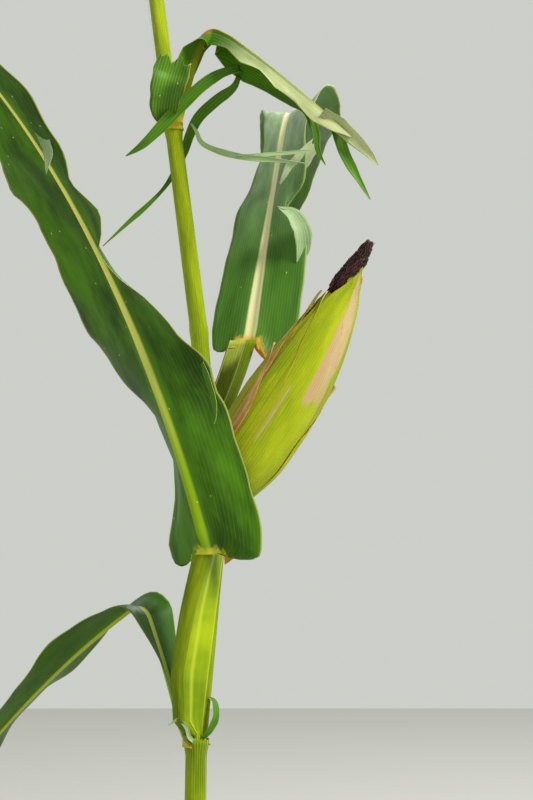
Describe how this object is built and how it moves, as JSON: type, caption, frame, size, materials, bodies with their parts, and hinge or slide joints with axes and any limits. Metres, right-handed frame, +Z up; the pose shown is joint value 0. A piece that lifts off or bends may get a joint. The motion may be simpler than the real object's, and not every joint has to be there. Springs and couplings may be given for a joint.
{
  "type": "maize plant",
  "caption": "Whole maize plant: jointed stalk on brace roots, arching two-ranked leaves with wrapping sheaths, one husked ear with dry silk, and a tassel.",
  "frame": {"origin": "centre of the flat cut under the stalk, at ground level", "axes": "+Z up along the stalk, +X to the right as the picture sees the plant, +Y away from the camera"},
  "size_m": [0.8693, 1.2293, 2.4205],
  "materials": {
    "stalk": "smooth green stem with fine ribs",
    "leaf": "satin blade with parallel veins",
    "shank": "smooth green stem",
    "husk": "matte veined husk with dry streaks",
    "silk": "dry matted silk",
    "tassel": "dry straw spikelets"
  },
  "bodies": {
    "root": {"stalk": "stalk", "leaf_01": "leaf", "leaf_02": "leaf", "leaf_03": "leaf", "leaf_04": "leaf", "leaf_05": "leaf", "leaf_06": "leaf", "leaf_07": "leaf", "leaf_08": "leaf", "leaf_09": "leaf", "leaf_10": "leaf", "leaf_11": "leaf", "leaf_12": "leaf", "leaf_13": "leaf", "ear_shank": "shank", "ear_husks": "husk", "ear_silk": "silk", "tassel": "tassel"}
  },
  "joints": []
}
